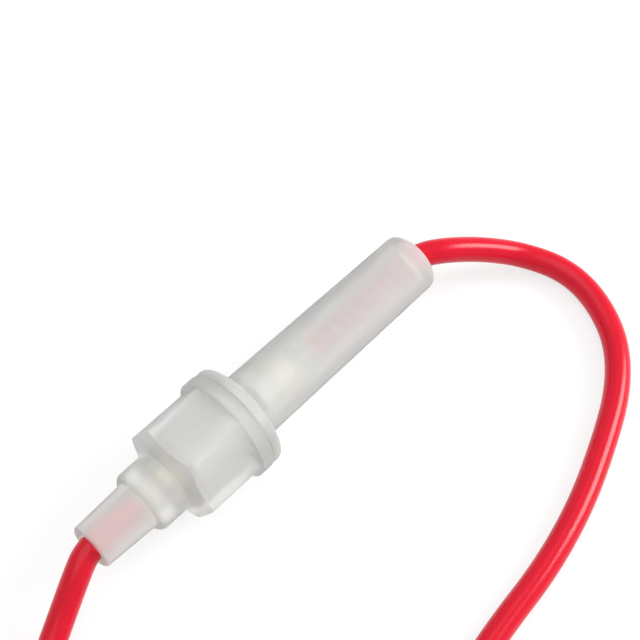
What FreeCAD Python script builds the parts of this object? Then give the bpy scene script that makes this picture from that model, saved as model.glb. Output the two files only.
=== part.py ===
import FreeCAD, Part
import math
import os
import Sketcher
from FreeCAD import Placement, Rotation, Vector

# Inline fuse holder for a 5 x 20 mm glass fuse, with one insulated lead out of each end.
# A moulded barrel carries the fuse, a contact and a spring. A moulded hexagonal cap screws
# onto it. The holder lies along X on the rim of its cap: the nose of the cap points to -X,
# the barrel to +X. The origin is on the floor, half way along the holder. Millimetres.

doc = FreeCAD.newDocument("InlineFuseHolder")
sizes = doc.addObject("Spreadsheet::Sheet", "Sizes")

# Every driving dimension, in the order in which the holder is met from the nose to the barrel.
DIMENSIONS = {
    "nose_length": 7.3,
    "nose_tip_dia": 5.7,
    "nose_root_dia": 6.3,
    "neck_length": 4.3,
    "neck_dia": 8.1,
    "neck_round": 0.85,
    "hex_length": 9.0,
    "hex_across_flats": 11.9,
    "hex_edge_round": 0.9,
    "hex_shoulder": 1.3,
    "rim_thickness": 1.8,
    "rim_dia": 13.8,
    "rim_round": 0.15,
    "cap_seat_gap": 0.05,
    "flange_thickness": 1.4,
    "flange_step": 0.1,
    "flange_seat_round": 0.15,
    "flange_round": 0.4,
    "barrel_length": 30.35,
    "barrel_root_dia": 8.4,
    "barrel_end_dia": 7.84,
    "barrel_root_round": 0.5,
    "barrel_end_round": 1.0,
    "edge_break": 0.25,
    "end_wall": 1.8,
    "wire_dia": 3.2,
    "wire_clearance": 0.15,
    "spigot_length": 8.2,
    "spigot_dia": 8.3,
    "land_length": 1.2,
    "land_clearance": 0.05,
    "thread_depth": 0.45,
    "thread_relief": 0.6,
    "cup_wall": 0.25,
    "cup_depth": 3.2,
    "cup_base": 0.6,
    "cup_clearance": 0.08,
    "contact_gap": 0.05,
    "crimp_length": 3.5,
    "crimp_wall": 0.5,
    "crimp_press": 0.22,
    "core_dia": 1.5,
    "core_clearance": 0.05,
    "strip_length": 8.0,
    "fuse_length": 20.0,
    "fuse_dia": 5.2,
    "fuse_cap_length": 5.0,
    "fuse_cap_wall": 0.2,
    "glass_wall": 0.6,
    "glass_clearance": 0.04,
    "glass_inset": 0.55,
    "solder_dia": 2.4,
    "solder_top_dia": 0.8,
    "solder_height": 0.5,
    "element_dia": 0.24,
    "spring_wire_dia": 0.5,
    "spring_clearance": 0.2,
    "spring_pitch": 2.0,
}

for row, (alias, value) in enumerate(DIMENSIONS.items(), start=1):
    sizes.set(f"A{row}", alias.replace("_", " "))
    sizes.set(f"B{row}", str(value))
    sizes.setAlias(f"B{row}", alias)
doc.recompute()

# Places along the holder, counted from the tip of the nose, as sums of those dimensions.
S = "<<Sizes>>."
NECK_START = f"{S}nose_length"
HEX_START = f"({NECK_START} + {S}neck_length)"
RIM_START = f"({HEX_START} + {S}hex_length)"
CAP_END = f"({RIM_START} + {S}rim_thickness)"
FLANGE_START = f"({CAP_END} + {S}cap_seat_gap)"
FLANGE_END = f"({FLANGE_START} + {S}flange_thickness)"
HOLDER_END = f"({FLANGE_END} + {S}barrel_length)"
SPIGOT_START = f"({FLANGE_START} - {S}spigot_length)"
BORE_END = f"({HOLDER_END} - {S}end_wall)"

# Radii that several pieces share.
WIRE_HOLE_R = f"({S}wire_dia / 2 + {S}wire_clearance)"
CORE_HOLE_R = f"({S}core_dia / 2 + {S}core_clearance)"
CUP_INNER_R = f"({S}fuse_dia / 2 + {S}contact_gap)"
CUP_R = f"({CUP_INNER_R} + {S}cup_wall)"
BORE_R = f"({CUP_R} + {S}cup_clearance)"
CRIMP_R = f"({CORE_HOLE_R} + {S}crimp_wall)"
SPIGOT_R = f"({S}spigot_dia / 2)"
THREAD_BORE_R = f"({SPIGOT_R} + {S}thread_depth)"
LAND_R = f"({THREAD_BORE_R} - {S}land_clearance)"

# The fuse is held between two brass cups: one seats in the cap, the spring pushes the other.
CUP_LIP = f"({SPIGOT_START} - {S}thread_relief)"
NOSE_CUP_BASE = f"({CUP_LIP} - {S}cup_depth)"
NOSE_CUP_FACE = f"({NOSE_CUP_BASE} + {S}cup_base)"
CHAMBER_START = f"({NOSE_CUP_BASE} - {S}contact_gap)"
NOSE_CRIMP_END = f"({NOSE_CUP_BASE} - {S}crimp_length)"
FUSE_START = f"({NOSE_CUP_FACE} + {S}contact_gap)"
FUSE_END = f"({FUSE_START} + {S}fuse_length)"
SPRING_CUP_FACE = f"({FUSE_END} + {S}contact_gap)"
SPRING_CUP_BASE = f"({SPRING_CUP_FACE} + {S}cup_base)"
SPRING_CUP_LIP = f"({SPRING_CUP_BASE} - {S}cup_depth)"
BARREL_CRIMP_END = f"({SPRING_CUP_BASE} + {S}crimp_length)"
NOSE_WIRE_START = f"({NOSE_CRIMP_END} - {S}contact_gap)"
BARREL_WIRE_START = f"({BARREL_CRIMP_END} + {S}contact_gap)"


# How far a measured length may be from the one that is looked for, and the least cut, in mm3.
MATCH = 1e-4
LEAST_CUT = 1e-6


def size(expression):
    """The number that an expression over the sheet gives."""
    return float(sizes.evalExpression(expression))


def plane_of(body, role):
    """One of a body's own origin planes."""
    return next(plane for plane in body.Origin.OriginFeatures if plane.Role == role)


def new_body(label):
    """A body that stands on the holder's axis, with its zero at the tip of the nose."""
    body = doc.addObject("PartDesign::Body", label)
    body.Label = label
    body.setExpression("Placement.Base.x", f"-{HOLDER_END} / 2")
    body.setExpression("Placement.Base.z", f"{S}rim_dia / 2")
    return body


def half_section(body, name, corners):
    """A closed sketch on the XZ plane. Each corner is (distance along the axis, radius)."""
    sketch = body.newObject("Sketcher::SketchObject", name)
    sketch.AttachmentSupport = [(plane_of(body, "XZ_Plane"), "")]
    sketch.MapMode = "FlatFace"
    points = [Vector(size(along), size(radius), 0) for along, radius in corners]
    for start, end in zip(points, points[1:] + points[:1]):
        sketch.addGeometry(Part.LineSegment(start, end), False)
    count = len(points)
    for index in range(count):
        previous = (index - 1) % count
        sketch.addConstraint(Sketcher.Constraint("Coincident", previous, 2, index, 1))
    for index, (along, radius) in enumerate(corners):
        for kind, axis, text in (("DistanceX", -2, along), ("DistanceY", -1, radius)):
            if size(text) == 0:
                sketch.addConstraint(Sketcher.Constraint("PointOnObject", index, 1, axis))
                continue
            number = sketch.addConstraint(Sketcher.Constraint(kind, -1, 1, index, 1, size(text)))
            sketch.setExpression(f"Constraints[{number}]", text)
    return sketch


def turned(body, kind, name, corners):
    """A revolution or groove of a half section about the holder's axis."""
    sketch = half_section(body, name + "Section", corners)
    feature = body.newObject(f"PartDesign::{kind}", name)
    feature.Profile = sketch
    feature.ReferenceAxis = (sketch, ["H_Axis"])
    feature.Angle = 360
    doc.recompute()
    return feature


def ring_edges(feature, along, radius):
    """Names of the round edges of a feature at one place on the axis, with one radius."""
    names = []
    for number, edge in enumerate(feature.Shape.Edges, start=1):
        if edge.Curve.TypeId != "Part::GeomCircle":
            continue
        off_place = abs(edge.Curve.Center.x - size(along))
        off_radius = abs(edge.Curve.Radius - size(radius))
        if max(off_place, off_radius) < MATCH:
            names.append(f"Edge{number}")
    if not names:
        raise ValueError(f"{feature.Name} has no round edge at {along}")
    return names


def rounded(body, name, base, edges, radius):
    """A fillet of named edges, with its radius bound to the sheet."""
    fillet = body.newObject("PartDesign::Fillet", name)
    fillet.Base = (base, edges)
    fillet.Radius = size(radius)
    fillet.setExpression("Radius", radius)
    doc.recompute()
    return fillet


def check_cut(before, after):
    """A cut has to take material away."""
    if after.Shape.Volume >= before.Shape.Volume - LEAST_CUT:
        raise ValueError(f"{after.Name} cut nothing")


# Screw cap: a tapered nose for the lead, a round neck, a hexagonal grip and a rim.

def hexagon(body, name, across_flats, along):
    """A regular hexagon across the axis, with a flat on top and a flat below."""
    sketch = body.newObject("Sketcher::SketchObject", name)
    sketch.AttachmentSupport = [(plane_of(body, "YZ_Plane"), "")]
    sketch.MapMode = "FlatFace"
    sketch.setExpression("AttachmentOffset.Base.z", along)
    corner_radius = f"{across_flats} / 2 / cos(30)"
    reach = size(corner_radius)
    turns = [math.radians(60 * corner) for corner in range(6)]
    points = [Vector(reach * math.cos(turn), reach * math.sin(turn), 0) for turn in turns]
    for start, end in zip(points, points[1:] + points[:1]):
        sketch.addGeometry(Part.LineSegment(start, end), False)
    circle = sketch.addGeometry(Part.Circle(Vector(), Vector(0, 0, 1), reach), True)
    sketch.addConstraint(Sketcher.Constraint("Coincident", circle, 3, -1, 1))
    radius = sketch.addConstraint(Sketcher.Constraint("Radius", circle, reach))
    sketch.setExpression(f"Constraints[{radius}]", corner_radius)
    for side in range(6):
        following = (side + 1) % 6
        sketch.addConstraint(Sketcher.Constraint("Coincident", side, 2, following, 1))
        sketch.addConstraint(Sketcher.Constraint("PointOnObject", side, 1, circle))
        if side:
            sketch.addConstraint(Sketcher.Constraint("Equal", 0, side))
    sketch.addConstraint(Sketcher.Constraint("PointOnObject", 0, 1, -1))
    return sketch


def make_cap():
    cap = new_body("screw_cap")
    neck_r = f"({S}neck_dia / 2)"
    rim_r = f"({S}rim_dia / 2)"
    turned(cap, "Revolution", "CapBlank", [
        ("0", "0"),
        ("0", f"{S}nose_tip_dia / 2"),
        (NECK_START, f"{S}nose_root_dia / 2"),
        (NECK_START, neck_r),
        (RIM_START, neck_r),
        (RIM_START, rim_r),
        (CAP_END, rim_r),
        (CAP_END, "0"),
    ])
    grip = cap.newObject("PartDesign::Pad", "HexGrip")
    grip.Profile = hexagon(cap, "HexOutline", f"{S}hex_across_flats", HEX_START)
    grip.setExpression("Length", f"{S}hex_length")
    doc.recompute()

    corner_r = size(f"{S}hex_across_flats / 2 / cos(30)")
    corner_edges = []
    for number, edge in enumerate(grip.Shape.Edges, start=1):
        middle = edge.BoundBox.Center
        off_axis_line = abs(edge.BoundBox.XLength - edge.Length)
        off_corner = abs(math.hypot(middle.y, middle.z) - corner_r)
        if max(off_axis_line, off_corner) < MATCH:
            corner_edges.append(f"Edge{number}")
    softened = rounded(cap, "HexCornerRound", grip, corner_edges, f"{S}hex_edge_round")

    # The nose end of the grip slopes down to the neck all round, like the end of a nut.
    slope_r = f"({S}hex_across_flats / 2 / cos(30) + {S}edge_break)"
    shoulder = turned(cap, "Groove", "HexShoulder", [
        (HEX_START, f"{neck_r} + {S}edge_break"),
        (f"{HEX_START} + {S}hex_shoulder", slope_r),
        (HEX_START, slope_r),
    ])
    check_cut(softened, shoulder)

    hollow = turned(cap, "Groove", "CapHollow", [
        ("0", "0"),
        ("0", WIRE_HOLE_R),
        (CHAMBER_START, WIRE_HOLE_R),
        (CHAMBER_START, BORE_R),
        (CUP_LIP, BORE_R),
        (CUP_LIP, THREAD_BORE_R),
        (CAP_END, THREAD_BORE_R),
        (CAP_END, "0"),
    ])
    check_cut(shoulder, hollow)

    neck_edges = ring_edges(hollow, NECK_START, neck_r)
    neck = rounded(cap, "NeckRound", hollow, neck_edges, f"{S}neck_round")
    rim_edges = ring_edges(neck, RIM_START, rim_r) + ring_edges(neck, CAP_END, rim_r)
    rim = rounded(cap, "RimRound", neck, rim_edges, f"{S}rim_round")
    tip_edges = ring_edges(rim, "0", f"{S}nose_tip_dia / 2")
    rounded(cap, "NoseRound", rim, tip_edges, f"{S}edge_break")
    return cap


# Barrel: a threaded spigot inside the cap, a flange that the cap meets, and a tapered tube
# with a closed end that the spring pushes against.

def make_barrel():
    barrel = new_body("barrel")
    flange_r = f"({S}rim_dia / 2 - {S}flange_step)"
    blank = turned(barrel, "Revolution", "BarrelBlank", [
        (SPIGOT_START, "0"),
        (SPIGOT_START, SPIGOT_R),
        (f"{FLANGE_START} - {S}land_length", SPIGOT_R),
        (f"{FLANGE_START} - {S}land_length", LAND_R),
        (FLANGE_START, LAND_R),
        (FLANGE_START, flange_r),
        (FLANGE_END, flange_r),
        (FLANGE_END, f"{S}barrel_root_dia / 2"),
        (HOLDER_END, f"{S}barrel_end_dia / 2"),
        (HOLDER_END, "0"),
    ])
    bore = turned(barrel, "Groove", "BarrelBore", [
        (SPIGOT_START, "0"),
        (SPIGOT_START, BORE_R),
        (BORE_END, BORE_R),
        (BORE_END, WIRE_HOLE_R),
        (HOLDER_END, WIRE_HOLE_R),
        (HOLDER_END, "0"),
    ])
    check_cut(blank, bore)
    end_edges = ring_edges(bore, HOLDER_END, f"{S}barrel_end_dia / 2")
    end = rounded(barrel, "BarrelEndRound", bore, end_edges, f"{S}barrel_end_round")
    root_edges = ring_edges(end, FLANGE_END, f"{S}barrel_root_dia / 2")
    root = rounded(barrel, "BarrelRootRound", end, root_edges, f"{S}barrel_root_round")
    flange_edges = ring_edges(root, FLANGE_END, flange_r)
    flange = rounded(barrel, "FlangeRound", root, flange_edges, f"{S}flange_round")
    seat_edges = ring_edges(flange, FLANGE_START, flange_r)
    seat = rounded(barrel, "FlangeSeatRound", flange, seat_edges, f"{S}flange_seat_round")
    mouth_edges = ring_edges(seat, SPIGOT_START, SPIGOT_R)
    rounded(barrel, "SpigotRound", seat, mouth_edges, f"{S}edge_break")
    return barrel


# Contacts: a turned brass cup round one end of the fuse, and a tail crimped on the wire.

def press_crimp(body, tail_start):
    """Two flats where the crimping tool has closed the tail."""
    sketch = body.newObject("Sketcher::SketchObject", "CrimpFlats")
    sketch.AttachmentSupport = [(plane_of(body, "XZ_Plane"), "")]
    sketch.MapMode = "FlatFace"
    left = f"{tail_start} + {S}crimp_length / 4"
    right = f"{tail_start} + 3 * {S}crimp_length / 4"
    low = f"{CRIMP_R} - {S}crimp_press"
    high = f"{CRIMP_R} + {S}crimp_press"
    corners = [(left, low), (right, low), (right, high), (left, high)]
    points = [Vector(size(along), size(height), 0) for along, height in corners]
    for start, end in zip(points, points[1:] + points[:1]):
        sketch.addGeometry(Part.LineSegment(start, end), False)
    for side in range(4):
        sketch.addConstraint(Sketcher.Constraint("Coincident", side, 2, (side + 1) % 4, 1))
    for side, (along, height) in enumerate(corners):
        for kind, text in (("DistanceX", along), ("DistanceY", height)):
            number = sketch.addConstraint(Sketcher.Constraint(kind, -1, 1, side, 1, size(text)))
            sketch.setExpression(f"Constraints[{number}]", text)
    before = body.Tip
    pocket = body.newObject("PartDesign::Pocket", "CrimpPress")
    pocket.Profile = sketch
    pocket.Midplane = True
    pocket.setExpression("Length", f"4 * {CRIMP_R}")
    doc.recompute()
    check_cut(before, pocket)
    opposite = body.newObject("PartDesign::PolarPattern", "CrimpPair")
    opposite.Originals = [pocket]
    opposite.Axis = (sketch, ["H_Axis"])
    opposite.Angle = 360
    opposite.Occurrences = 2
    body.Tip = opposite
    doc.recompute()
    check_cut(pocket, opposite)


def make_contact(label, base_outer, base_inner, lip, tail_end):
    """A cup from base to lip, with its tail the other way. The base has a hole for the wire."""
    contact = new_body(label)
    turned(contact, "Revolution", "ContactTurned", [
        (tail_end, CORE_HOLE_R),
        (tail_end, CRIMP_R),
        (base_outer, CRIMP_R),
        (base_outer, CUP_R),
        (lip, CUP_R),
        (lip, CUP_INNER_R),
        (base_inner, CUP_INNER_R),
        (base_inner, CORE_HOLE_R),
    ])
    tail_start = tail_end if size(tail_end) < size(base_outer) else base_outer
    press_crimp(contact, tail_start)
    return contact


# Glass fuse: a glass tube between two plated caps, with a solder bead in each and the
# element stretched between the beads.

def make_fuse():
    cap_inner_r = f"({S}fuse_dia / 2 - {S}fuse_cap_wall)"
    glass_r = f"({cap_inner_r} - {S}glass_clearance)"
    outer_r = f"({S}fuse_dia / 2)"
    ends = (
        ("nose", FUSE_START, "+"),
        ("spring", FUSE_END, "-"),
    )
    for side, face, inward in ends:
        end_cap = new_body(f"fuse_end_cap_{side}")
        floor = f"({face} {inward} {S}fuse_cap_wall)"
        mouth = f"({face} {inward} {S}fuse_cap_length)"
        turned(end_cap, "Revolution", "EndCap", [
            (face, "0"),
            (face, outer_r),
            (mouth, outer_r),
            (mouth, cap_inner_r),
            (floor, cap_inner_r),
            (floor, "0"),
        ])
        bead = new_body(f"solder_bead_{side}")
        turned(bead, "Revolution", "Bead", [
            (floor, "0"),
            (floor, f"{S}solder_dia / 2"),
            (f"{floor} {inward} {S}solder_height", f"{S}solder_top_dia / 2"),
            (f"{floor} {inward} {S}solder_height", "0"),
        ])
    glass = new_body("fuse_glass")
    glass_start = f"({FUSE_START} + {S}glass_inset)"
    glass_end = f"({FUSE_END} - {S}glass_inset)"
    turned(glass, "Revolution", "GlassTube", [
        (glass_start, f"{glass_r} - {S}glass_wall"),
        (glass_start, glass_r),
        (glass_end, glass_r),
        (glass_end, f"{glass_r} - {S}glass_wall"),
    ])
    element = new_body("fuse_element")
    bead_top = f"{S}fuse_cap_wall + {S}solder_height"
    turned(element, "Revolution", "ElementWire", [
        (f"{FUSE_START} + {bead_top}", "0"),
        (f"{FUSE_START} + {bead_top}", f"{S}element_dia / 2"),
        (f"{FUSE_END} - ({bead_top})", f"{S}element_dia / 2"),
        (f"{FUSE_END} - ({bead_top})", "0"),
    ])


# Compression spring between the contact and the end wall, with ground ends.

def make_spring():
    start = f"({SPRING_CUP_BASE} + {S}contact_gap)"
    length = f"({BORE_END} - {S}contact_gap - {start})"
    coil_r = f"({BORE_R} - {S}spring_clearance - {S}spring_wire_dia / 2)"
    half_wire = f"{S}spring_wire_dia / 2"
    helix = doc.addObject("Part::Helix", "SpringHelix")
    helix.setExpression("Pitch", f"{S}spring_pitch")
    helix.setExpression("Height", f"{length} - {half_wire}")
    helix.setExpression("Radius", coil_r)
    section = doc.addObject("Part::Circle", "SpringWireSection")
    section.setExpression("Radius", half_wire)
    section.Placement.Rotation = Rotation(Vector(1, 0, 0), 90)
    section.setExpression("Placement.Base.x", coil_r)
    doc.recompute()
    coil = doc.addObject("Part::Sweep", "SpringCoil")
    coil.Sections = [section]
    coil.Spine = (helix, [f"Edge{number}" for number in range(1, len(helix.Shape.Edges) + 1)])
    coil.Solid = True
    coil.Frenet = True
    grind = doc.addObject("Part::Cylinder", "SpringGrind")
    grind.setExpression("Radius", f"{coil_r} + {S}spring_wire_dia")
    grind.setExpression("Height", f"{length} - {half_wire}")
    spring = doc.addObject("Part::Common", "compression_spring")
    spring.Base = coil
    spring.Tool = grind
    spring.Label = "compression_spring"
    spring.Placement.Rotation = Rotation(Vector(0, 1, 0), 90)
    spring.setExpression("Placement.Base.x", f"{start} + {half_wire} / 2 - {HOLDER_END} / 2")
    spring.setExpression("Placement.Base.z", f"{S}rim_dia / 2")
    doc.recompute()
    return spring


# Leads: insulated wire of one diameter. Each route is a list of points in the holder's own
# frame, straight runs between them, and an arc as large as the runs allow at each point.

AXIS_HEIGHT = size(f"{S}rim_dia / 2")
NOSE_TIP = -size(HOLDER_END) / 2
BARREL_TIP = size(HOLDER_END) / 2
LYING = size(f"{S}wire_dia / 2")
ARC_SHARE = 0.45

NOSE_ROUTE = [
    Vector(NOSE_TIP + size(NOSE_WIRE_START), 0, AXIS_HEIGHT),
    Vector(NOSE_TIP - 0.8, 0, AXIS_HEIGHT),
    Vector(-31.1, -1.7, 5.6),
    Vector(-34.7, -2.4, 2.9),
    Vector(-38.8, -4.2, LYING),
    Vector(-43.3, -9.0, LYING),
    Vector(-47.3, -16.5, LYING),
    Vector(-49.6, -25.4, LYING),
    Vector(-49.6, -35.0, LYING),
    Vector(-44.9, -43.1, LYING),
    Vector(-36.1, -46.3, LYING),
    Vector(-27.4, -42.7, LYING),
    Vector(-23.1, -34.6, LYING),
    Vector(-25.0, -26.8, LYING),
]

BARREL_ROUTE = [
    Vector(NOSE_TIP + size(BARREL_WIRE_START), 0, AXIS_HEIGHT),
    Vector(BARREL_TIP + 1.1, 0, AXIS_HEIGHT),
    Vector(31.8, -2.6, 6.3),
    Vector(35.9, -4.1, 4.4),
    Vector(40.0, -7.2, 2.3),
    Vector(42.1, -12.7, LYING),
    Vector(41.4, -18.2, LYING),
    Vector(38.2, -24.2, LYING),
    Vector(32.7, -28.8, LYING),
    Vector(25.2, -32.3, LYING),
    Vector(17.1, -35.4, LYING),
    Vector(8.2, -37.5, LYING),
    Vector(-1.2, -38.4, LYING),
    Vector(-9.5, -39.9, LYING),
    Vector(-14.8, -44.8, LYING),
]


def rounded_path(points):
    """A wire of straight runs joined by tangent arcs, and the radii of those arcs."""
    edges = []
    radii = []
    start = points[0]
    for before, corner, after in zip(points, points[1:], points[2:]):
        arriving = (corner - before).normalize()
        leaving = (after - corner).normalize()
        turn = arriving.getAngle(leaving)
        reach = ARC_SHARE * min((corner - before).Length, (after - corner).Length)
        radius = reach / math.tan(turn / 2)
        inward = (leaving - arriving).normalize()
        middle = corner + inward * (radius / math.cos(turn / 2) - radius)
        arc_start = corner - arriving * reach
        arc_end = corner + leaving * reach
        edges.append(Part.LineSegment(start, arc_start).toShape())
        edges.append(Part.Arc(arc_start, middle, arc_end).toShape())
        radii.append(radius)
        start = arc_end
    edges.append(Part.LineSegment(start, points[-1]).toShape())
    return Part.Wire(edges), radii


def make_lead(label, route):
    """A lead's insulated wire. Its radii and its volume are printed."""
    radius = size(f"{S}wire_dia / 2")
    path, radii = rounded_path(route)
    heading = (route[1] - route[0]).normalize()
    section = Part.Wire([Part.makeCircle(radius, route[0], heading)])
    lead = doc.addObject("Part::Feature", label)
    lead.Shape = path.makePipeShell([section], True, False)
    lead.Label = label
    print(label, "length", round(path.Length, 2), "radii", [round(value, 1) for value in radii])
    expected = path.Length * math.pi * radius ** 2
    print(label, "volume", round(lead.Shape.Volume, 2), "section times length", round(expected, 2))
    return path.Length


def make_core(label, start, heading, length):
    """A bare length of tinned conductor, from one point along one direction."""
    core = doc.addObject("Part::Cylinder", label)
    core.Label = label
    core.setExpression("Radius", f"{S}core_dia / 2")
    core.setExpression("Height", length)
    core.Placement = Placement(start, Rotation(Vector(0, 0, 1), heading))
    return core


def make_leads():
    wire_end = f"({S}crimp_length + {S}contact_gap)"
    strip = size(f"{S}strip_length")
    for label, route in (("nose_lead", NOSE_ROUTE), ("barrel_lead", BARREL_ROUTE)):
        length = make_lead(label, route)
        inside = BARREL_TIP - abs(route[0].x)
        print(label, "outside the holder", round(length - inside + strip, 2), "with its bare end")
        inward = (route[0] - route[1]).normalize()
        make_core(f"{label}_inner_core", route[0], inward, wire_end)
        outward = (route[-1] - route[-2]).normalize()
        make_core(f"{label}_bare_end", route[-1], outward, f"{S}strip_length")
        print(label, "bare end from", route[-1], "along", outward)


make_cap()
make_barrel()
make_contact("nose_contact", NOSE_CUP_BASE, NOSE_CUP_FACE, CUP_LIP, NOSE_CRIMP_END)
make_contact("spring_contact", SPRING_CUP_BASE, SPRING_CUP_FACE, SPRING_CUP_LIP, BARREL_CRIMP_END)
make_fuse()
make_spring()
make_leads()
doc.recompute()

NODES = [
    "screw_cap",
    "barrel",
    "nose_contact",
    "spring_contact",
    "fuse_end_cap_nose",
    "fuse_end_cap_spring",
    "fuse_glass",
    "fuse_element",
    "solder_bead_nose",
    "solder_bead_spring",
    "compression_spring",
    "nose_lead",
    "nose_lead_inner_core",
    "nose_lead_bare_end",
    "barrel_lead",
    "barrel_lead_inner_core",
    "barrel_lead_bare_end",
]

for item in doc.Objects:
    if "Invalid" in item.State or "Error" in item.State:
        raise ValueError(f"{item.Name} failed: {item.State}")

os.makedirs("parts", exist_ok=True)
for label in NODES:
    node = doc.getObjectsByLabel(label)[0]
    if node.Shape.isNull() or not node.Shape.isValid():
        raise ValueError(f"{label} has no valid shape")
    node.Shape.exportStep(f"parts/{label}.step")
    print(label, "volume", round(node.Shape.Volume, 3), "faces", len(node.Shape.Faces))
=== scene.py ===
# %% [markdown]
# # An inline fuse holder with two red leads
# The object is a glass-fuse holder that is spliced into a wire: a milky plastic barrel, a
# hexagonal cap that screws onto it, and one insulated lead out of each end. The shapes of its
# solid pieces come from a CAD model, which is loaded as a fixed frame. This script gives each
# piece its finish, adds the small forms that are made here, and sets up camera and light.
# Loading comes first, because everything else is placed by what the frame says.

# %% Load the frame
import math

import bpy
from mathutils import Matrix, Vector


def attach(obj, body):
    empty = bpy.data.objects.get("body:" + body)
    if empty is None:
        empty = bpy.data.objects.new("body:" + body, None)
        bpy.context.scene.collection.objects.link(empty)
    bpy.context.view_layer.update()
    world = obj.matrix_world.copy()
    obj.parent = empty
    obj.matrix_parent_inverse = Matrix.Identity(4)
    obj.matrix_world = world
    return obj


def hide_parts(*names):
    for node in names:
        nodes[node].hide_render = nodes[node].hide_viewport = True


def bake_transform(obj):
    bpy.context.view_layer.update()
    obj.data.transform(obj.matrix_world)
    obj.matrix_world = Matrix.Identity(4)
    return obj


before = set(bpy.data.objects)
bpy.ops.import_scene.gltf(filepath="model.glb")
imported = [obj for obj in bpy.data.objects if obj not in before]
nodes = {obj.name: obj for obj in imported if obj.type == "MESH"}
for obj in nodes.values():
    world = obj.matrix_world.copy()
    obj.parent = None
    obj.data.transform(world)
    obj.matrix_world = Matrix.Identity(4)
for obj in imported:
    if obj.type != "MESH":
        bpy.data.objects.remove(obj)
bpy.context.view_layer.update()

MM = 0.001
print("nodes:", ", ".join(sorted(nodes)))

# %% [markdown]
# ## Camera
# The photograph looks steeply down on the holder, which runs from the lower left to the upper
# right. A long lens keeps the two ends nearly the same size, as they are there. The camera is
# placed by what it looks at, how far away it stands, and two angles, because those are the
# things that a photographer would change.

# %% Camera
LENS_MM = 100
SENSOR_MM = 36
VIEW_TARGET = Vector((12.6, 2.2, 7.0)) * MM
VIEW_DISTANCE = 215.5 * MM
VIEW_TURN = math.radians(46.6)
VIEW_DROP = math.radians(57.0)
NEAREST_SEEN = 0.01
FARTHEST_SEEN = 10

looking = Vector((
    math.sin(VIEW_TURN) * math.cos(VIEW_DROP),
    math.cos(VIEW_TURN) * math.cos(VIEW_DROP),
    -math.sin(VIEW_DROP),
))
camera_data = bpy.data.cameras.new("camera")
camera_data.lens = LENS_MM
camera_data.sensor_width = SENSOR_MM
camera_data.clip_start = NEAREST_SEEN
camera_data.clip_end = FARTHEST_SEEN
camera = bpy.data.objects.new("camera", camera_data)
bpy.context.scene.collection.objects.link(camera)
camera.location = VIEW_TARGET - looking * VIEW_DISTANCE
camera.rotation_mode = "QUATERNION"
camera.rotation_quaternion = looking.to_track_quat("-Z", "Y")
bpy.context.scene.camera = camera
print("camera at", [round(value / MM, 1) for value in camera.location], "mm")

# %% [markdown]
# ## One piece at a time
# Blender's operators act on everything that is selected, as a hand at the bench works on what
# it holds. So every piece is taken up alone before it is shaped. A finished piece is closed,
# its faces point outward, and it is shaded smooth except over its real edges.

# %% Bench helpers
MERGE_DISTANCE = 0.002 * MM


def deselect_all():
    """Leaves nothing selected, so that the next operator acts on the new piece alone."""
    for piece in bpy.context.selected_objects:
        piece.select_set(False)
    bpy.context.view_layer.objects.active = None


def activate(piece):
    """Makes one piece the only selected and active one."""
    deselect_all()
    piece.select_set(True)
    bpy.context.view_layer.objects.active = piece
    return piece


def set_mode(mode):
    """Changes between edit mode and object mode."""
    bpy.ops.object.mode_set(mode=mode)


def close_ends(piece):
    """Merges what coincides, fills the open ends and turns the faces outward."""
    activate(piece)
    set_mode("EDIT")
    bpy.ops.mesh.select_all(action="SELECT")
    bpy.ops.mesh.remove_doubles(threshold=MERGE_DISTANCE)
    bpy.ops.mesh.fill_holes(sides=0)
    bpy.ops.mesh.select_all(action="SELECT")
    bpy.ops.mesh.normals_make_consistent(inside=False)
    set_mode("OBJECT")
    return piece


def finish_edges(piece, degrees):
    """Smooth shading, except over edges sharper than the angle. Reports the faces."""
    activate(piece)
    bpy.ops.object.shade_smooth_by_angle(angle=math.radians(degrees))
    print(piece.name, "has", len(piece.data.polygons), "faces")
    return piece


# %% [markdown]
# ## Routes of the leads
# Each lead is a length of insulated wire that comes straight out of its hole, bends down
# under its own weight and lies on the floor. Its route is a short list of points. A
# NURBS spline treats them as control points and passes smoothly between them, which is how a
# springy wire lies, with no corner anywhere.

# %% Routes
AXIS_HEIGHT = 6.9 * MM
SPLINE_STEPS = 12

NOSE_ROUTE_MM = [
    (-20.2, 0, 6.9), (-24.4, 0, 6.9), (-27.7, 0, 6.9), (-30.3, -1.0, 6.0), (-34.2, -2.4, 3.4),
    (-38.6, -4.3, 1.6), (-43.3, -9.0, 1.6), (-47.3, -16.5, 1.6), (-49.6, -25.4, 1.6),
    (-49.6, -35.0, 1.6), (-44.9, -43.1, 1.6), (-36.1, -46.3, 1.6), (-27.4, -42.7, 1.6),
    (-23.1, -34.6, 1.6), (-25.0, -26.8, 1.6),
]
BARREL_ROUTE_MM = [
    (8.2, 0, 6.9), (24.2, 0, 6.9), (28.0, 0, 6.9), (31.2, -1.8, 6.5), (35.6, -4.3, 4.6),
    (39.8, -7.6, 2.3), (42.1, -12.7, 1.6), (41.4, -18.2, 1.6), (38.2, -24.2, 1.6),
    (32.7, -28.8, 1.6), (25.2, -32.3, 1.6), (17.1, -35.4, 1.6), (8.2, -37.5, 1.6),
    (-1.2, -38.4, 1.6), (-9.5, -39.9, 1.6), (-14.8, -44.8, 1.6),
]


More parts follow.
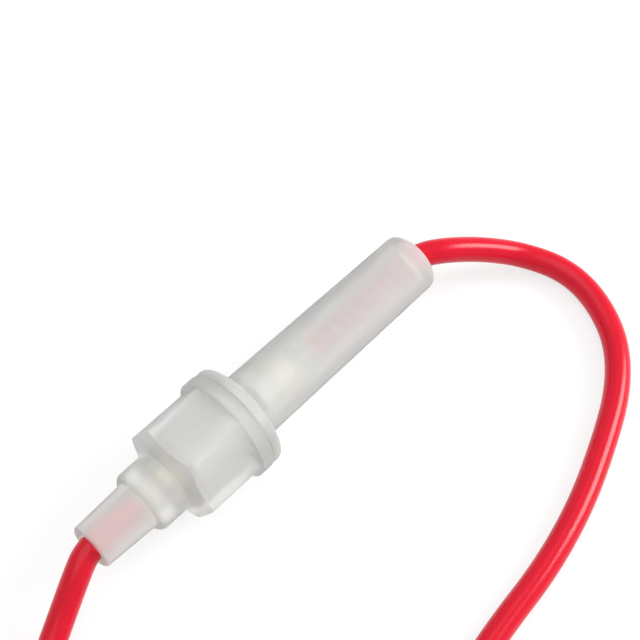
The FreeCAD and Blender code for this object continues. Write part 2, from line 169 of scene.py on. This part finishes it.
def route_spline(name, route_mm):
    """A curve object with one smooth open NURBS spline through listed points."""
    curve = bpy.data.curves.new(name, "CURVE")
    curve.dimensions = "3D"
    spline = curve.splines.new("NURBS")
    spline.points.add(len(route_mm) - 1)
    for point, place in zip(spline.points, route_mm):
        point.co = (*(Vector(place) * MM), 1)
    spline.order_u = 3
    spline.use_endpoint_u = True
    spline.resolution_u = SPLINE_STEPS
    piece = bpy.data.objects.new(name, curve)
    bpy.context.scene.collection.objects.link(piece)
    return piece


for lead, route in (("nose lead", NOSE_ROUTE_MM), ("barrel lead", BARREL_ROUTE_MM)):
    print(lead, "is routed by", len(route), "points")

# %% [markdown]
# ## Insulation of the leads
# The insulation is a plain round sheath of one thickness. A bevel on the spline gives that
# section all along it, which no other tool does as evenly round the bends. The line of the
# spline is kept, because it gives the wire's true length.

# %% Lead tubes
WIRE_RADIUS = 1.6 * MM
TUBE_ROUNDNESS = 8


def spline_points(curve_piece):
    """The points that a curve with no bevel passes through, in order."""
    mesh = bpy.data.meshes.new_from_object(curve_piece)
    points = [vertex.co.copy() for vertex in mesh.vertices]
    bpy.data.meshes.remove(mesh)
    return points


def length_of(points):
    """The length of a line of points."""
    return sum((after - before).length for before, after in zip(points, points[1:]))


def lead_tube(name, route_mm):
    """The insulation of a lead as a mesh tube, and the line of points that it follows."""
    tube = route_spline(name, route_mm)
    line = spline_points(tube)
    tube.data.bevel_depth = WIRE_RADIUS
    tube.data.bevel_resolution = TUBE_ROUNDNESS
    tube.data.use_fill_caps = True
    activate(tube)
    bpy.ops.object.convert(target="MESH")
    finish_edges(close_ends(tube), 40)
    print(name, "is", round(length_of(line) / MM, 1), "mm long")
    return tube, line


nose_insulation, nose_line = lead_tube("nose_lead_insulation", NOSE_ROUTE_MM)
barrel_insulation, barrel_line = lead_tube("barrel_lead_insulation", BARREL_ROUTE_MM)

# %% [markdown]
# ## Screw forms
# A thread, a spring and the twist of a stranded wire are the same kind of form: a small
# section that goes round an axis while it moves along it. The section is drawn as a ring
# beside the axis, and the screw modifier carries it round. All of these are made about the
# X axis first and moved to their places afterwards.

# %% Screw forms
def new_ring(name, sides, half_along, half_out, along, out):
    """A ring in the plane of the X axis, as the section of a ridge or of a coil."""
    deselect_all()
    bpy.ops.mesh.primitive_circle_add(vertices=sides, radius=1, location=(0, 0, 0))
    ring = bpy.context.object
    ring.name = name
    set_mode("EDIT")
    bpy.ops.mesh.select_all(action="SELECT")
    bpy.ops.transform.resize(value=(half_along, half_out, 1))
    bpy.ops.transform.translate(value=(along, out, 0))
    set_mode("OBJECT")
    return ring


def carry_round(piece, turns, advance, steps):
    """Carries the rings of a piece round X, and along it by the whole advance."""
    laps = math.ceil(turns)
    activate(piece)
    screw = piece.modifiers.new("screw", "SCREW")
    screw.axis = "X"
    screw.angle = math.tau * turns / laps
    screw.iterations = laps
    screw.screw_offset = advance / laps
    screw.steps = round(steps * turns / laps)
    screw.render_steps = screw.steps
    bpy.ops.object.modifier_apply(modifier=screw.name)
    return piece


def settle(piece, place, heading=0):
    """Turns a piece about Z, moves it to its place and writes both into its mesh."""
    piece.location = place
    piece.rotation_euler = (0, 0, heading)
    activate(piece)
    bpy.ops.object.transform_apply(location=True, rotation=True, scale=True)
    return piece


# %% [markdown]
# ## Screw thread
# Barrel and cap are held together by a coarse moulded thread, which the photograph hides
# inside the cap. Each ridge is a low rounded rib with blunt ends, as on moulded bottle necks.
# The barrel's rib stands outward and the cap's stands inward, half a pitch apart, so that they
# mesh at every place of the cap. Each rib is joined to its moulding by a boolean union,
# because the real moulding is one piece of plastic.

# %% Screw thread
THREAD_PITCH = 1.5 * MM
THREAD_START = -12.2 * MM
RIB_HALF_WIDTH = 0.4 * MM
RIB_HEIGHT = 0.34 * MM
RIB_SIDES = 10
RIB_STEPS = 32
OUTER_RIB_RADIUS = 4.13 * MM
OUTER_RIB_TURNS = 3.75
INNER_RIB_RADIUS = 4.62 * MM
INNER_RIB_TURNS = 3.25


def thread_rib(name, start, out, turns):
    """One rib of the thread, from its start along the holder."""
    rib = new_ring(name, RIB_SIDES, RIB_HALF_WIDTH, RIB_HEIGHT, start, out)
    carry_round(rib, turns, turns * THREAD_PITCH, RIB_STEPS)
    close_ends(rib)
    return settle(rib, (0, 0, AXIS_HEIGHT))


def moulding_with_thread(node_name, rib):
    """A copy of a moulding from the CAD model, made one with its rib."""
    moulding = bpy.data.objects.new(node_name + "_moulding", nodes[node_name].data.copy())
    bpy.context.scene.collection.objects.link(moulding)
    activate(moulding)
    bpy.ops.mesh.customdata_custom_splitnormals_clear()
    close_ends(moulding)
    union = moulding.modifiers.new("thread", "BOOLEAN")
    union.operation = "UNION"
    union.solver = "EXACT"
    union.object = rib
    bpy.ops.object.modifier_apply(modifier=union.name)
    bpy.data.objects.remove(rib)
    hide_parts(node_name)
    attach(moulding, node_name)
    return finish_edges(moulding, 35)


outer_rib = thread_rib("outer_rib", THREAD_START, OUTER_RIB_RADIUS, OUTER_RIB_TURNS)
inner_rib = thread_rib(
    "inner_rib", THREAD_START + THREAD_PITCH / 2, INNER_RIB_RADIUS, INNER_RIB_TURNS)
barrel_moulding = moulding_with_thread("barrel", outer_rib)
cap_moulding = moulding_with_thread("screw_cap", inner_rib)

# %% [markdown]
# ## Compression spring
# The spring is cold-wound steel wire with one closed coil at each end, ground flat, so that
# it pushes squarely on the contact and on the barrel's end wall. Three whole-turn stages, the
# outer ones with almost no gap between coils, are joined and then cut flat at both ends. It is
# pressed between the moving contact and the barrel.

# %% Compression spring
SPRING_START = 4.83 * MM
SPRING_END = 25.12 * MM
COIL_RADIUS = 2.53 * MM
SPRING_WIRE_RADIUS = 0.25 * MM
SPRING_WIRE_SIDES = 10
COIL_STEPS = 28
GROUND_OFF = 0.22 * MM
END_RISE = 0.54 * MM
ACTIVE_TURNS = 10
CUT_TOLERANCE = 0.0001 * MM


def cut_flat(piece, along, keep_right):
    """Cuts a piece square to X and closes the cut."""
    activate(piece)
    set_mode("EDIT")
    bpy.ops.mesh.select_all(action="SELECT")
    bpy.ops.mesh.bisect(
        plane_co=(along, 0, 0),
        plane_no=(1, 0, 0),
        use_fill=True,
        clear_inner=keep_right,
        clear_outer=not keep_right,
        threshold=CUT_TOLERANCE,
    )
    set_mode("OBJECT")


def wound_spring():
    """The spring with its two closed and ground end coils."""
    along = SPRING_START + SPRING_WIRE_RADIUS - GROUND_OFF
    active_rise = SPRING_END + SPRING_START - 2 * along - 2 * END_RISE
    stages = []
    for turns, rise in ((1, END_RISE), (ACTIVE_TURNS, active_rise), (1, END_RISE)):
        ring = new_ring(
            "spring_stage", SPRING_WIRE_SIDES, SPRING_WIRE_RADIUS, SPRING_WIRE_RADIUS,
            along, COIL_RADIUS)
        stages.append(carry_round(ring, turns, rise, COIL_STEPS))
        along += rise
    activate(stages[0])
    for stage in stages:
        stage.select_set(True)
    bpy.ops.object.join()
    wound = bpy.context.object
    wound.name = "wound_spring"
    close_ends(wound)
    cut_flat(wound, SPRING_START, True)
    cut_flat(wound, SPRING_END, False)
    return settle(wound, (0, 0, AXIS_HEIGHT))


spring = finish_edges(wound_spring(), 40)
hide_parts("compression_spring")
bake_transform(spring)

# %% [markdown]
# ## Stranded conductors
# Under its insulation each lead has nineteen fine tinned strands, one in the middle, six
# round it and twelve outside, twisted together. They show at the stripped ends and inside the
# crimps. All nineteen rings are drawn face on, and the slow turn of the screw modifier makes
# the twist.

# %% Stranded conductors
STRAND_RADIUS = 0.145 * MM
STRAND_SIDES = 8
STRAND_STEPS = 24
INNER_LAYER = (0.295 * MM, 6)
OUTER_LAYER = (0.59 * MM, 12)
LAY_LENGTH = 16 * MM
STRIPPED_LENGTH = 8 * MM
CRIMPED_LENGTH = 3.55 * MM
FACE_ON = (0, math.pi / 2, 0)


def strand_rings(name):
    """Nineteen rings square to X, packed in two circles round a middle one."""
    deselect_all()
    bpy.ops.mesh.primitive_circle_add(
        vertices=STRAND_SIDES, radius=STRAND_RADIUS, location=(0, 0, 0), rotation=FACE_ON)
    bundle = bpy.context.object
    bundle.name = name
    activate(bundle)
    bpy.ops.object.transform_apply(location=True, rotation=True, scale=True)
    set_mode("EDIT")
    for out, count in (INNER_LAYER, OUTER_LAYER):
        bpy.ops.mesh.primitive_circle_add(
            vertices=STRAND_SIDES, radius=STRAND_RADIUS, location=(0, out, 0), rotation=FACE_ON)
        bpy.ops.mesh.spin(
            steps=count - 1, dupli=True, angle=math.tau * (count - 1) / count,
            center=(0, 0, 0), axis=(1, 0, 0))
    set_mode("OBJECT")
    return bundle


def stranded(node_name, body, place, heading, length):
    """A twisted bundle of strands in place of a solid conductor of the CAD model."""
    bundle = strand_rings(node_name + "_strands")
    carry_round(bundle, length / LAY_LENGTH, length, STRAND_STEPS)
    close_ends(bundle)
    settle(bundle, place, heading)
    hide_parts(node_name)
    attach(bundle, body)
    return finish_edges(bundle, 50)


def bare_end(node_name, body, route_mm):
    """The stripped end of a lead, straight on from the last run of its route."""
    run = Vector(route_mm[-1]) - Vector(route_mm[-2])
    heading = math.atan2(run.y, run.x)
    return stranded(node_name, body, Vector(route_mm[-1]) * MM, heading, STRIPPED_LENGTH)


nose_bare_end = bare_end("nose_lead_bare_end", "fuse_and_contacts", NOSE_ROUTE_MM)
barrel_bare_end = bare_end("barrel_lead_bare_end", "barrel", BARREL_ROUTE_MM)
nose_crimped = stranded(
    "nose_lead_inner_core", "fuse_and_contacts",
    Vector(NOSE_ROUTE_MM[0]) * MM, 0, CRIMPED_LENGTH)
barrel_crimped = stranded(
    "barrel_lead_inner_core", "fuse_and_contacts",
    Vector(BARREL_ROUTE_MM[0]) * MM, math.pi, CRIMPED_LENGTH)

# %% [markdown]
# ## Sums on sockets
# Every finish below is worked out by nodes. Written as node links, a formula is hard to read,
# so one small class wraps a socket and lets it take part in ordinary sums. Only the two sums
# that the finishes need are there, each with its reflected form.

# %% Sums on sockets
class Field:
    """A socket whose value changes over a surface, which takes part in sums."""

    def __init__(self, finish, socket):
        self.finish = finish
        self.socket = socket

    def math(self, operation, first, second):
        """A Math node on two values, of which either may be a field."""
        return self.finish.node(
            "ShaderNodeMath", {"operation": operation}, {0: first, 1: second})

    def __add__(self, other):
        return self.math("ADD", self, other)

    def __radd__(self, other):
        return self.math("ADD", other, self)

    def __mul__(self, other):
        return self.math("MULTIPLY", self, other)

    def __rmul__(self, other):
        return self.math("MULTIPLY", other, self)


# %% [markdown]
# ## Finishes
# A finish is one material with its Principled shader. Any node other than a sum comes from one
# method, which takes the node's settings and what goes into its sockets. Numbers that are the
# same all over a piece go straight onto the shader's own sockets.

# %% Finishes
class Finish:
    """A material under construction, with its Principled shader ready."""

    def __init__(self, name):
        self.material = bpy.data.materials.new(name)
        self.material.use_nodes = True
        self.tree = self.material.node_tree
        self.shader = self.tree.nodes["Principled BSDF"]

    def node(self, kind, settings, sockets, output=0):
        """Adds a node: its settings first, then the values or links of its sockets."""
        made = self.tree.nodes.new(kind)
        for name, value in settings.items():
            setattr(made, name, value)
        for name, value in sockets.items():
            self.feed(made.inputs[name], value)
        return Field(self, made.outputs[output])

    def feed(self, socket, value):
        """Links a field to a socket, or sets the socket's own value."""
        if isinstance(value, Field):
            self.tree.links.new(value.socket, socket)
        else:
            socket.default_value = value

    def set(self, **sockets):
        """Sets or links sockets of the shader, named with underscores for spaces."""
        for name, value in sockets.items():
            self.feed(self.shader.inputs[name.replace("_", " ")], value)

    def places(self):
        """The place of each point of the piece, in metres in the frame."""
        return self.node("ShaderNodeTexCoord", {}, {}, "Object")

    def noise(self, scale, detail=2.0, vector=None):
        """Soft noise from 0 to 1. Its scale counts lumps to a metre, or to a unit of a vector."""
        return self.node("ShaderNodeTexNoise", {}, {
            "Vector": vector or self.places(),
            "Scale": scale,
            "Detail": detail,
        }, "Fac")

    def blend(self, share, first, second):
        """A colour that goes from the first to the second as the share goes to 1."""
        return self.node("ShaderNodeMix", {"data_type": "RGBA"}, {
            0: share,
            6: first,
            7: second,
        }, 2)

    def bump(self, height, strength, depth):
        """Fine relief of the given depth in metres, linked to the shader's normal."""
        relief = self.node("ShaderNodeBump", {}, {
            "Height": height,
            "Strength": strength,
            "Distance": depth,
        })
        self.set(Normal=relief)


def colour(red, green, blue):
    """A colour written as it looks on screen, from 0 to 255, as the shader needs it."""
    linear = []
    for part in (red, green, blue):
        share = part / 255
        linear.append(share / 12.92 if share <= 0.04045 else ((share + 0.055) / 1.055) ** 2.4)
    return (*linear, 1)


def dress(piece, finish):
    """Gives a piece one finish all over."""
    piece.data.materials.clear()
    piece.data.materials.append(finish.material)
    print(piece.name, "is finished in", finish.material.name)


# %% [markdown]
# ## Milky plastic
# Cap and barrel are moulded from a natural nylon with no pigment. Light goes some way in and
# is scattered, so the surface looks soft and white, and what lies close behind it shows as a
# faint tint. Part subsurface and part rough transmission gives both. The base colour is almost
# white, because light meets it at every pass. The clouding is weak and slow, and the surface
# has the faint ripple of a polished mould.

# %% Milky plastic
def milky_plastic():
    """Unpigmented nylon that lets a faint tint of the inside through."""
    plastic = Finish("milky_plastic")
    clouds = plastic.noise(170, 3.0)
    tone = plastic.blend(clouds, colour(246, 246, 240), colour(252, 252, 249))
    ripple = plastic.noise(900, 2.0)
    plastic.set(
        Base_Color=tone,
        Roughness=0.48 + 0.08 * ripple,
        IOR=1.3,
        Subsurface_Weight=1.0,
        Subsurface_Scale=0.0045,
        Transmission_Weight=0.7,
    )
    plastic.shader.inputs["Subsurface Radius"].default_value = (1.0, 0.9, 0.8)
    plastic.bump(ripple, 0.25, 0.00003)
    return plastic


natural_nylon = milky_plastic()
dress(cap_moulding, natural_nylon)
dress(barrel_moulding, natural_nylon)

# %% [markdown]
# ## Red insulation
# The leads are sheathed in extruded PVC. It is glossy, deeply coloured and has faint drawn
# lines along its length, where the die leaves its mark. Those lines follow the wire, so they
# are read from the tube's own UV map.

# %% Red insulation
def red_pvc():
    """Glossy red sheath with the die's faint lines along it."""
    pvc = Finish("red_pvc")
    around = pvc.node("ShaderNodeUVMap", {"uv_map": "UVMap"}, {})
    stretched = pvc.node("ShaderNodeMapping", {}, {"Vector": around, "Scale": (60, 3, 1)})
    drawn = pvc.noise(1.0, 3.0, stretched)
    patches = pvc.noise(260, 2.0)
    tone = pvc.blend(patches, colour(187, 0, 27), colour(201, 1, 39))
    pvc.set(
        Base_Color=tone,
        Roughness=0.18 + 0.08 * drawn,
        IOR=1.5,
        Specular_IOR_Level=0.28,
        Subsurface_Weight=0.12,
        Subsurface_Scale=0.0006,
    )
    pvc.shader.inputs["Subsurface Radius"].default_value = (1.0, 0.15, 0.15)
    pvc.bump(drawn, 0.3, 0.00003)
    return pvc


insulation = red_pvc()
dress(nose_insulation, insulation)
dress(barrel_insulation, insulation)

# %% [markdown]
# ## Metals
# Inside are contacts of brass with a thin nickel plate, a plated steel spring, plated fuse
# caps, a fine element between two solder beads, and tinned copper conductors. Each metal gets
# a colour, a brightness that varies a little, and the marks of how it was made. On the
# contacts and the fuse caps, which are formed from sheet, those marks are stretched across
# the holder.

# %% Metals
def metal(name, dark, light, roughness, lump_scale, streaks=(1, 1, 1)):
    """A metal whose colour, roughness and relief vary with one stretched noise."""
    finish = Finish(name)
    stretched = finish.node("ShaderNodeMapping", {}, {
        "Vector": finish.places(),
        "Scale": streaks,
    })
    marks = finish.noise(lump_scale, 3.0, stretched)
    finish.set(
        Base_Color=finish.blend(marks, dark, light),
        Metallic=1.0,
        Roughness=roughness + 0.12 * marks,
    )
    finish.bump(marks, 0.3, 0.00002)
    return finish


plated_brass = metal(
    "plated_brass", colour(205, 198, 182), colour(224, 218, 204), 0.24, 900, (4, 1, 1))
plated_cap = metal(
    "plated_end_cap", colour(196, 196, 192), colour(222, 221, 216), 0.18, 700, (3, 1, 1))
steel = metal("plated_spring_steel", colour(150, 150, 148), colour(188, 188, 184), 0.26, 1600)
tin = metal("tinned_strand", colour(184, 186, 188), colour(212, 213, 213), 0.28, 2400)
solder = metal("solder_bead", colour(168, 170, 172), colour(206, 208, 210), 0.22, 1200)
element_wire = metal("element_wire", colour(178, 178, 172), colour(204, 203, 196), 0.3, 2500)

# %% [markdown]
# ## Fuse glass
# The fuse's body is a clear drawn glass tube. It is the only piece that is truly clear, so it
# gets full transmission, a faint green and a little dust in its gloss.

# %% Fuse glass
def fuse_glass():
    """Clear glass with a little dust."""
    glass = Finish("fuse_glass")
    dust = glass.noise(1500, 2.0)
    glass.set(
        Base_Color=(0.96, 0.98, 0.97, 1),
        Roughness=0.02 + 0.04 * dust,
        IOR=1.52,
        Transmission_Weight=1.0,
    )
    glass.bump(dust, 0.15, 0.00001)
    return glass


for node_name, finish in (
    ("nose_contact", plated_brass),
    ("spring_contact", plated_brass),
    ("fuse_end_cap_nose", plated_cap),
    ("fuse_end_cap_spring", plated_cap),
    ("fuse_glass", fuse_glass()),
    ("fuse_element", element_wire),
    ("solder_bead_nose", solder),
    ("solder_bead_spring", solder),
):
    dress(nodes[node_name], finish)

dress(spring, steel)
for strands in (nose_bare_end, barrel_bare_end, nose_crimped, barrel_crimped):
    dress(strands, tin)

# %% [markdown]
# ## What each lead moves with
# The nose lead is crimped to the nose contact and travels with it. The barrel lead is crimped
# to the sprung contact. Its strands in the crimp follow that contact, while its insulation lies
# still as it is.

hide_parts("nose_lead")
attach(nose_insulation, "fuse_and_contacts")

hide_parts("barrel_lead")
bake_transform(barrel_insulation)

# %% [markdown]
# ## Floor
# The photograph is a studio cut-out on white. The floor is a large pale sheet that is seen as
# almost pure white, by the camera and in reflections. The rest of its shader is lit as any
# surface is, so it keeps the object's own soft shadow.

# %% Floor
FLOOR_SIZE = 6.0
SEEN_WHITE_SHARE = 0.72


def white_floor():
    """A pale sheet whose look is a mixture of plain white and its own lit surface."""
    finish = Finish("white_floor")
    finish.set(Base_Color=(0.9, 0.9, 0.9, 1), Roughness=0.8)
    seen = finish.node("ShaderNodeLightPath", {}, {}, "Is Camera Ray")
    mirrored = finish.node("ShaderNodeLightPath", {}, {}, "Is Glossy Ray")
    passed = finish.node("ShaderNodeLightPath", {}, {}, "Is Transmission Ray")
    glow = finish.node("ShaderNodeEmission", {}, {"Color": (1, 1, 1, 1), "Strength": 1.0})
    mixed = finish.node("ShaderNodeMixShader", {}, {
        0: SEEN_WHITE_SHARE * (seen + mirrored + passed),
        1: Field(finish, finish.shader.outputs["BSDF"]),
        2: glow,
    })
    finish.feed(finish.tree.nodes["Material Output"].inputs["Surface"], mixed)
    return finish


deselect_all()
bpy.ops.mesh.primitive_plane_add(size=FLOOR_SIZE, location=(0, 0, 0))
floor = bpy.context.object
floor.name = "floor"
dress(floor, white_floor())

# %% [markdown]
# ## Light
# One soft light stands low on the picture's right, where it draws the bright line along the
# wires. A weaker and larger one hangs overhead, and the world fills in the rest. Together they
# are weak enough that the pale plastic keeps its shades.

# %% Light
KEY_PLACE = (0.46, -0.28, 0.33)
KEY_SIZE = 0.30
KEY_POWER = 3.4
FILL_PLACE = (-0.05, 0.05, 0.60)
FILL_SIZE = 0.60
FILL_POWER = 1.2
WORLD_STRENGTH = 0.80


def soft_light(name, place, size, power):
    """A square light that faces the holder."""
    data = bpy.data.lights.new(name, "AREA")
    data.size = size
    data.energy = power
    light = bpy.data.objects.new(name, data)
    bpy.context.scene.collection.objects.link(light)
    light.location = Vector(place)
    light.rotation_mode = "QUATERNION"
    light.rotation_quaternion = (VIEW_TARGET - light.location).to_track_quat("-Z", "Y")
    print(name, "gives", power, "W over", size, "m")


soft_light("key_light", KEY_PLACE, KEY_SIZE, KEY_POWER)
soft_light("fill_light", FILL_PLACE, FILL_SIZE, FILL_POWER)

world = bpy.data.worlds.new("studio")
world.use_nodes = True
background = world.node_tree.nodes["Background"]
background.inputs["Color"].default_value = (1, 1, 1, 1)
background.inputs["Strength"].default_value = WORLD_STRENGTH
bpy.context.scene.world = world
bpy.context.scene.view_settings.view_transform = "Standard"
